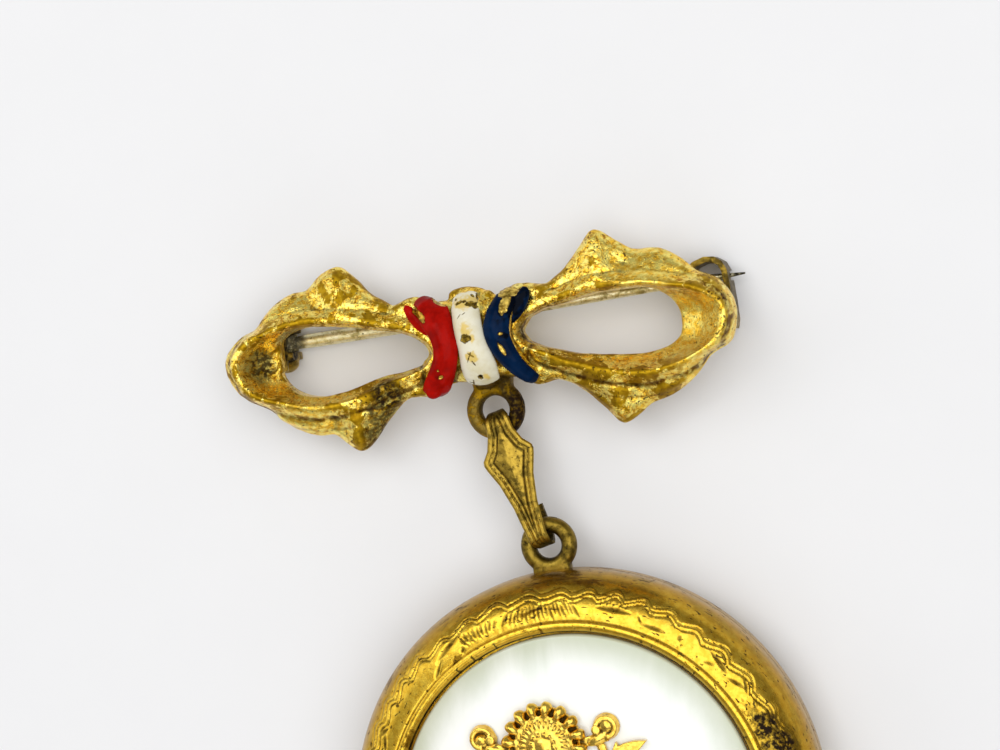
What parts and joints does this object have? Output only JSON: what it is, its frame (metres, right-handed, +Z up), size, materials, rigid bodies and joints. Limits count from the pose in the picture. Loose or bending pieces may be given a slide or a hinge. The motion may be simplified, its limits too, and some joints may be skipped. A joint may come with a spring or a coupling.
{
  "type": "locket brooch",
  "caption": "Gilt ribbon bow brooch with an enamelled knot, a pin and a catch, from which a hinged round locket with a pearl disc and an applied ornament hangs by a folded link.",
  "frame": {"origin": "on the surface the brooch lies on, under the middle of its whole box", "axes": "+X along the bow to the catch, +Y from the locket to the bow, +Z up out of the enamelled front"},
  "size_m": [0.0392, 0.0558, 0.0084],
  "materials": {
    "bow_gilt": "gilding, worn in patches",
    "locket_gilt": "polished gilding, engraved",
    "back_gilt": "dull gilding",
    "stem_metal": "plating, worn",
    "red_enamel": "gloss, chipped",
    "white_enamel": "gloss, chipped",
    "blue_enamel": "gloss, chipped",
    "pearl": "polished mother of pearl"
  },
  "bodies": {
    "brooch": {"bow": "bow_gilt", "red_enamel": "red_enamel", "white_enamel": "white_enamel", "blue_enamel": "blue_enamel", "pin_hinge": "back_gilt", "pin_rivet": "back_gilt", "catch": "back_gilt", "link": "back_gilt", "locket_case": "locket_gilt", "locket_hinge_pin": "back_gilt"},
    "pin": {"pin_stem": "stem_metal"},
    "cover": {"locket_cover": "locket_gilt", "pearl_disc": "pearl", "ornament": "locket_gilt"}
  },
  "joints": [
    {"name": "pin_swing", "type": "hinge", "parent": "brooch", "child": "pin", "pos_m": [-0.01593, 0.02243, 0.001], "axis": [-0.0419, 0.9991, 0], "range_deg": [0, 75]},
    {"name": "cover_hinge", "type": "hinge", "parent": "brooch", "child": "cover", "pos_m": [-0.01383, -0.0125, 0.0037], "axis": [0.0593, -0.9982, 0], "range_deg": [0, 110]}
  ]
}
